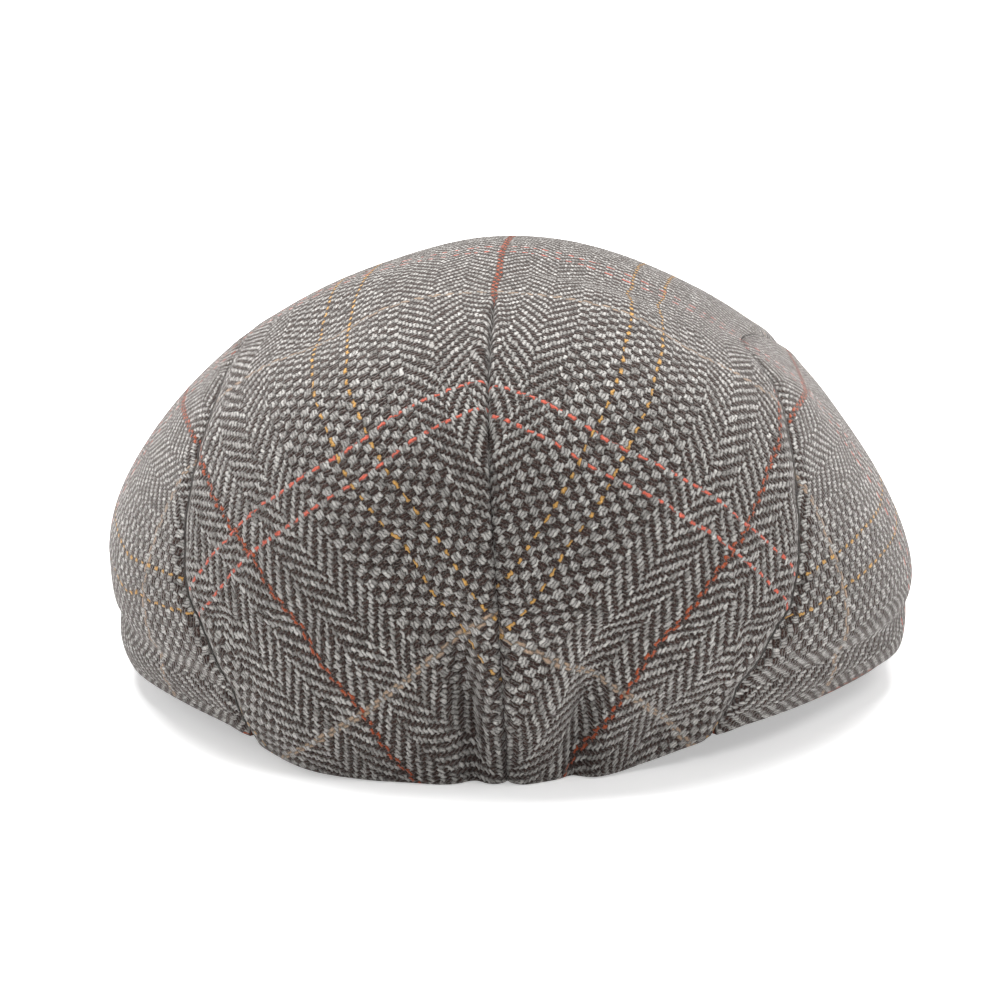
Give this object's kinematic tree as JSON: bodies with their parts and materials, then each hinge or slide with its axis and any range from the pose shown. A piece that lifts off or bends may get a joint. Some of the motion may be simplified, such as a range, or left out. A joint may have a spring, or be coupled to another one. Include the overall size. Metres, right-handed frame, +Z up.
{
  "type": "flat cap",
  "caption": "Flat cap of checked tweed with a low rounded crown, a dart up the back, side panels and a short peak.",
  "frame": {"origin": "on the table, under the middle of the cap's width and length", "axes": "+X to the wearer's right, +Y forward to the peak, +Z up"},
  "size_m": [0.1942, 0.2536, 0.103],
  "materials": {
    "tweed": "woven wool, matt and fuzzy"
  },
  "bodies": {
    "root": {"crown_top": "tweed", "side_left": "tweed", "side_right": "tweed", "peak": "tweed"}
  },
  "joints": []
}
